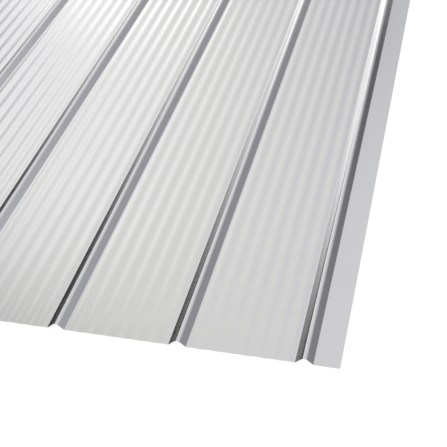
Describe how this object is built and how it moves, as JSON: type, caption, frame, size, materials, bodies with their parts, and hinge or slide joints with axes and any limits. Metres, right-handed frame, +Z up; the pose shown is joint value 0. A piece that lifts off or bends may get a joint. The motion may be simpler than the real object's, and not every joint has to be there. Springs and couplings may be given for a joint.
{
  "type": "corrugated metal sheet",
  "caption": "Flat-lying sheet of thin coated steel with low lengthwise ribs, finely waved pans between them and plain flat side margins, for roofs and walls.",
  "frame": {"origin": "on the floor, under the middle of the sheet", "axes": "+Y along the ribs, +X across the sheet, +Z up, out of the side that the ribs stand on"},
  "size_m": [1.11, 2, 0.0105],
  "materials": {
    "coated_steel": "satin zinc-aluminium coating"
  },
  "bodies": {
    "root": {"sheet": "coated_steel"}
  },
  "joints": []
}
